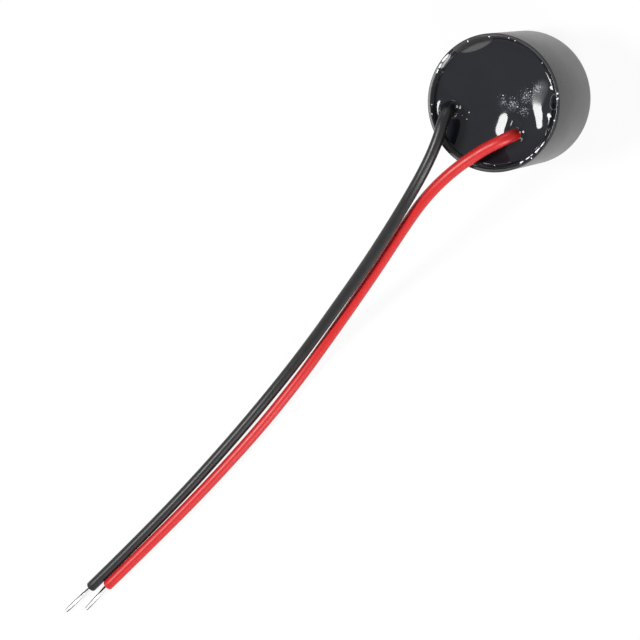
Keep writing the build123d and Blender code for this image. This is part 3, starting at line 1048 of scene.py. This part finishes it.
@dataclass
class Lead:
    """A flying lead: sleeving along its route, and twisted strands, dipped in tin, at its end."""

    colour: Colour
    route: list[tuple[float, float, float]]
    tip_length: float
    tip_aim: tuple[float, float, float]
    tip_shares: tuple[tuple[float, float], ...]
    diameter: float = 1.05
    strand_diameter: float = 0.42
    buried: float = 0.3
    lip_steps: tuple[tuple[float, float], ...] = (
        (0.05, 0.97), (0.04, 0.94), (0.02, 0.92), (0.0, 0.62), (-0.12, 0.9),
    )
    cut_face_depth: float = 0.01
    outer_strands: int = 6
    tip_segments: int = 48
    valley_reach: float = 0.2
    lobe_share: float = 0.88
    tip_step: float = 0.12
    cut_steps: tuple[tuple[float, float], ...] = ((0.03, 0.9), (0.0, 0.5), (-0.05, 0.8))
    degrees_per_mm: float = 16.0
    groove_spacing: float = 120.0
    groove_half_width: float = 20.0

    def build_sleeving(self) -> tuple[bpy.types.Object, list[Vector]]:
        """Draw the route as a smooth spline and give it the sleeving's thickness.

        Returns:
            The sleeving as a mesh tube, and the points of its middle line in metres.
        """
        line = bpy.data.curves.new(f"{self.colour.value}_route", "CURVE")
        line.dimensions = "3D"
        spline = line.splines.new("NURBS")
        spline.points.add(len(self.route) - 1)
        for point, place in zip(spline.points, self.route):
            point.co = (*(value * MM for value in place), 1.0)
        spline.order_u = 3
        spline.use_endpoint_u = True
        spline.resolution_u = 16
        deselect_all()
        tube = bpy.data.objects.new(f"{self.colour.value}_sleeving", line)
        bpy.context.scene.collection.objects.link(tube)
        bare = bpy.data.meshes.new_from_object(tube)
        path = [corner.co.copy() for corner in bare.vertices]
        bpy.data.meshes.remove(bare)
        line.bevel_depth = self.diameter / 2 * MM
        line.bevel_resolution = 8
        line.use_fill_caps = True
        tube.select_set(True)
        bpy.context.view_layer.objects.active = tube
        bpy.ops.object.convert(target="MESH")
        tube = bpy.context.object
        self.round_cut_end(tube, path)
        return tube, path

    def round_cut_end(self, tube: bpy.types.Object, path: list[Vector]) -> None:
        """Draw in the sleeving's edge where it was stripped, and turn it back on the strands.

        Args:
            tube: The sleeving.
            path: The points of its middle line.
        """
        middle = path[-1]
        along = (path[-1] - path[-2]).normalized()
        end = middle.copy()
        bpy.ops.object.mode_set(mode="EDIT")
        bpy.ops.mesh.select_all(action="SELECT")
        bpy.ops.mesh.remove_doubles(threshold=CLOSE * MM)

        def at_end(place: Vector) -> bool:
            """Whether a corner lies on the cut face."""
            return abs((place - end).dot(along)) < self.cut_face_depth * MM

        pick(tube, "FACE", at_end)
        bpy.ops.mesh.delete(type="FACE")
        pick(tube, "EDGE", at_end)
        for advance, share in self.lip_steps:
            step = along * advance * MM
            middle = middle + step
            bpy.ops.mesh.extrude_region_move(TRANSFORM_OT_translate={"value": step})
            bpy.ops.transform.resize(value=(share, share, share), center_override=middle)
        bpy.ops.mesh.select_all(action="SELECT")
        bpy.ops.mesh.normals_make_consistent(inside=False)
        bpy.ops.object.mode_set(mode="OBJECT")
        bpy.ops.object.shade_smooth_by_angle(angle=radians(45.0))

    def build_tip(self, start: Vector) -> bpy.types.Object:
        """Lay seven strands, twist them, flood them with tin and cut them off.

        Args:
            start: Where the sleeving ends, in metres.

        Returns:
            The bare tip.
        """
        radius = self.strand_diameter / 2
        name = f"{self.colour.value}_tinned_tip"
        turning = Turning(name, radius, 0.0, self.tip_segments)
        tip = turning.piece
        for valley in range(self.outer_strands):
            turn = tau * valley / self.outer_strands
            middle = Vector((cos(turn), sin(turn), 0.0)) * radius
            pick(tip, "VERT", lambda place: (place - middle).length < radius * self.valley_reach)
            bpy.ops.transform.resize(
                value=(self.lobe_share, self.lobe_share, 1.0), center_override=(0.0, 0.0, 0.0)
            )
        bpy.ops.mesh.select_all(action="SELECT")
        for place, share in self.tip_shares:
            run = self.buried + place * self.tip_length - turning.level
            steps = max(round(run / self.tip_step), 1)
            for _ in range(steps):
                turning.ring_to(turning.radius * share ** (1 / steps), turning.level + run / steps)
        for advance, share in self.cut_steps:
            turning.ring_to(turning.radius * share, turning.level + advance)
        turning.close_on_axis()
        pick(tip, "EDGE", lambda place: place.z < CLOSE)
        bpy.ops.mesh.edge_face_add()
        bpy.ops.object.mode_set(mode="OBJECT")
        self.mark_grooves(tip)
        twist = tip.modifiers.new("lay", "SIMPLE_DEFORM")
        twist.deform_method = "TWIST"
        twist.deform_axis = "Z"
        twist.angle = radians(self.degrees_per_mm) * (self.tip_length + self.buried)
        bpy.ops.object.modifier_apply(modifier=twist.name)
        aim = (Vector(self.tip_aim) * MM - start).normalized()
        turned = aim.to_track_quat("Z", "X").to_matrix().to_4x4()
        tip.matrix_world = Matrix.Translation(start / MM - aim * self.buried) @ turned
        bpy.ops.object.transform_apply(location=True, rotation=True, scale=True)
        return settle(tip, smooth_degrees=50.0)

    def mark_grooves(self, tip: bpy.types.Object) -> None:
        """Mark every other groove, where the finish paints shade.

        Args:
            tip: The tip, upright and not yet twisted.
        """
        marks = tip.data.attributes.new("groove", "FLOAT", "POINT")
        half = self.groove_spacing / 2
        for corner, mark in zip(tip.data.vertices, marks.data):
            apart = abs((bearing(corner.co) + half) % self.groove_spacing - half)
            mark.value = 1.0 if apart < self.groove_half_width else 0.0

    def declare(self, tube: bpy.types.Object, tip: bpy.types.Object, path: list[Vector]) -> None:
        """Do nothing: the sleeving is not declared a free cord here.

        Args:
            tube: The sleeving. Not used.
            tip: The bare tip. Not used.
            path: The points of the sleeving's middle line. Not used.
        """


RED_LEAD = Lead(
    Colour.RED,
    route=[
        (2.87, -1.75, 8.55), (2.87, -1.75, 9.70), (2.28, -2.43, 10.50),
        (0.73, -4.08, 10.35), (-1.16, -6.72, 10.20), (-2.89, -9.93, 9.40),
        (-4.38, -13.69, 7.70), (-5.95, -18.04, 5.60), (-7.79, -22.91, 3.40),
        (-9.69, -28.02, 1.50), (-11.40, -33.14, 0.60), (-13.67, -39.61, 0.53),
        (-16.93, -47.49, 0.53), (-20.51, -55.27, 0.53), (-23.20, -60.91, 0.53),
    ],
    tip_length=3.7,
    tip_aim=(-24.62, -64.33, 0.42),
    # wide where the tin has run under the sleeving, slimmer at the cut
    tip_shares=((0.12, 1.05), (0.3, 0.93), (0.75, 0.97), (1.0, 0.92)),
)
BLACK_LEAD = Lead(
    Colour.BLACK,
    route=[
        (-3.45, -1.83, 8.55), (-3.45, -1.83, 9.75), (-3.36, -2.70, 10.60),
        (-3.15, -4.50, 10.78), (-3.35, -7.13, 10.72), (-4.11, -10.49, 10.10),
        (-5.43, -14.47, 8.40), (-7.06, -18.85, 6.25), (-9.01, -23.73, 4.00),
        (-11.01, -28.90, 2.00), (-13.11, -34.33, 0.70), (-15.54, -40.85, 0.53),
        (-18.69, -48.60, 0.53), (-22.33, -56.65, 0.53), (-24.84, -61.88, 0.53),
    ],
    tip_length=4.05,
    tip_aim=(-26.60, -65.52, 0.42),
    # a collar of tin a third of the way along, then a slim, even run
    tip_shares=((0.24, 0.97), (0.27, 1.1), (0.33, 1.0), (0.36, 0.9), (0.9, 0.98), (1.0, 0.9)),
)


@dataclass
class SealedInside:
    """The disc and the board under the resin: their solids stay, with their finishes."""

    finishes: dict[str, str] = field(default_factory=lambda: {
        "diaphragm": "brass",
        "piezo_ceramic": "ceramic",
        "main_electrode": "silver",
        "feedback_electrode": "silver",
        "diaphragm_adhesive": "silicone",
        "circuit_board": "laminate",
        "board_copper": "copper",
        "transistor_body": "compound",
        "transistor_legs": "tinned",
    })
    endings: dict[str, str] = field(default_factory=lambda: {
        "_chip": "chip",
        "_terminals": "tinned",
        "_link_wire": "enamelled",
        "_solder": "solder",
        "_lead_conductor": "strand",
    })

    def dress(self, dressing: Dressing) -> int:
        """Finish each solid that is still shown.

        Args:
            dressing: The finishes.

        Returns:
            How many solids were finished.
        """
        count = 0
        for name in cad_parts:
            key = self.finishes.get(name)
            for ending, finish in self.endings.items():
                if name.endswith(ending):
                    key = finish
            if key is not None:
                dressing.dress_solid(name, key)
                count += 1
        return count


@dataclass
class Lamp:
    """A soft studio lamp."""

    name: str
    place: tuple[float, float, float]
    size: tuple[float, float]
    watts: float
    aim: tuple[float, float, float] = (0.0, 0.0, 0.008)

    def build(self) -> None:
        """Hang the lamp and turn it to its aim."""
        data = bpy.data.lights.new(self.name, "AREA")
        data.shape = "ELLIPSE"
        data.size, data.size_y = self.size
        data.energy = self.watts
        lamp = bpy.data.objects.new(self.name, data)
        lamp.location = self.place
        aim = Vector(self.aim) - Vector(self.place)
        lamp.rotation_euler = aim.to_track_quat("-Z", "Y").to_euler()
        bpy.context.scene.collection.objects.link(lamp)


@dataclass
class Studio:
    """The pale table, the soft light and the camera, at the angle of the photograph."""

    camera_place: tuple[float, float, float] = (0.058507, 0.033751, 0.206578)
    camera_right: tuple[float, float, float] = (0.86549661, 0.31802644, -0.38700749)
    camera_up: tuple[float, float, float] = (-0.39392265, 0.90937057, -0.13367916)
    focal_length: float = 135.0
    sensor_width: float = 36.0
    clip_start: float = 0.01
    table_width: float = 1.6
    table_gap_mm: float = 0.02
    table_colour: str = "#F2F2F2"
    table_glow: float = 0.92
    seen_colour: str = "#FFFFFF"
    room_light: float = 0.07
    lamps: tuple[Lamp, ...] = (
        Lamp("left_lamp", (-0.258, -0.1075, 0.4237), (0.13, 0.143), 2.5),
        Lamp("right_lamp", (0.26, -0.30, 0.335), (0.12, 0.12), 0.8),
        Lamp("low_lamp", (0.40, -0.27, 0.17), (0.16, 0.16), 1.6),
        Lamp("back_softbox", (-0.19, 0.42, 0.25), (0.30, 0.16), 0.6),
    )

    def build(self) -> None:
        """Set the table, the light and the camera."""
        self.build_table()
        self.build_sky()
        for lamp in self.lamps:
            lamp.build()
        self.build_camera()

    def build_table(self) -> None:
        """Lay a plain pale table that is seen white and keeps a soft shadow.

        It lies a hair under the case, whose bottom would otherwise flicker through it.
        """
        deselect_all()
        below = (0.0, 0.0, -self.table_gap_mm * MM)
        bpy.ops.mesh.primitive_plane_add(size=self.table_width, location=below)
        table = bpy.context.object
        table.name = "table"
        material = bpy.data.materials.new("paper_sweep_white")
        material.use_nodes = True
        tree = material.node_tree
        tree.nodes.clear()
        share = add_node(tree, "ShaderNodeMath", {"operation": "MULTIPLY"}, {
            0: seen_white(tree), 1: self.table_glow,
        })
        paper = add_node(tree, "ShaderNodeBsdfDiffuse", inputs={
            "Color": linear_colour(self.table_colour),
        })
        glow = add_node(tree, "ShaderNodeEmission", inputs={
            "Color": linear_colour(self.seen_colour), "Strength": 1.0,
        })
        mixed = add_node(tree, "ShaderNodeMixShader", inputs={
            0: share.outputs[0], 1: paper.outputs["BSDF"], 2: glow.outputs["Emission"],
        })
        add_node(tree, "ShaderNodeOutputMaterial", inputs={"Surface": mixed.outputs["Shader"]})
        table.data.materials.append(material)

    def build_sky(self) -> None:
        """Put an even, dim room round it all that is seen white."""
        world = bpy.data.worlds.new("studio_room")
        bpy.context.scene.world = world
        world.use_nodes = True
        tree = world.node_tree
        tree.nodes.clear()
        strength = add_node(tree, "ShaderNodeMapRange", inputs={
            "Value": seen_white(tree), "To Min": self.room_light, "To Max": 1.0,
        })
        room = add_node(tree, "ShaderNodeBackground", inputs={
            "Color": linear_colour(self.seen_colour), "Strength": strength.outputs["Result"],
        })
        add_node(tree, "ShaderNodeOutputWorld", inputs={"Surface": room.outputs["Background"]})

    def build_camera(self) -> None:
        """Stand the camera where the photograph was taken from."""
        right = Vector(self.camera_right)
        up = Vector(self.camera_up)
        turn = Matrix((right, up, right.cross(up))).transposed().to_4x4()
        data = bpy.data.cameras.new("camera")
        data.lens = self.focal_length
        data.sensor_width = self.sensor_width
        data.clip_start = self.clip_start
        camera = bpy.data.objects.new("camera", data)
        camera.matrix_world = Matrix.Translation(self.camera_place) @ turn
        bpy.context.scene.collection.objects.link(camera)
        bpy.context.scene.camera = camera


def main() -> None:
    """Build the buzzer, its leads and the studio."""
    logging.basicConfig(level=logging.INFO, format="%(name)s: %(message)s")
    dressing = Dressing()
    log.info("finishes: %d", len(dressing.materials))

    case = CupCase()
    dressing.dress(case.build(), "case", ("case",))
    dressing.dress(case.build_rib(), "case", ())
    log.info("case and key rib")

    resin = ResinFill()
    dressing.dress(resin.build(), "resin", ("potting",))
    dressing.dress(Flecks().build(resin), "glint_fleck", ())
    log.info("resin fill and its flecks")

    for lead in (RED_LEAD, BLACK_LEAD):
        name = lead.colour.value
        tube, path = lead.build_sleeving()
        tip = lead.build_tip(path[-1])
        dressing.dress(tube, f"{name}_vinyl", (f"{name}_lead_insulation",))
        dressing.dress(tip, "strand", (f"{name}_lead_conductor",))
        lead.declare(tube, tip, path)
        log.info("%s lead", name)

    log.info("sealed solids finished: %d", SealedInside().dress(dressing))
    Studio().build()
    bpy.context.scene.view_settings.view_transform = "Standard"


if __name__ == "__main__":
    main()
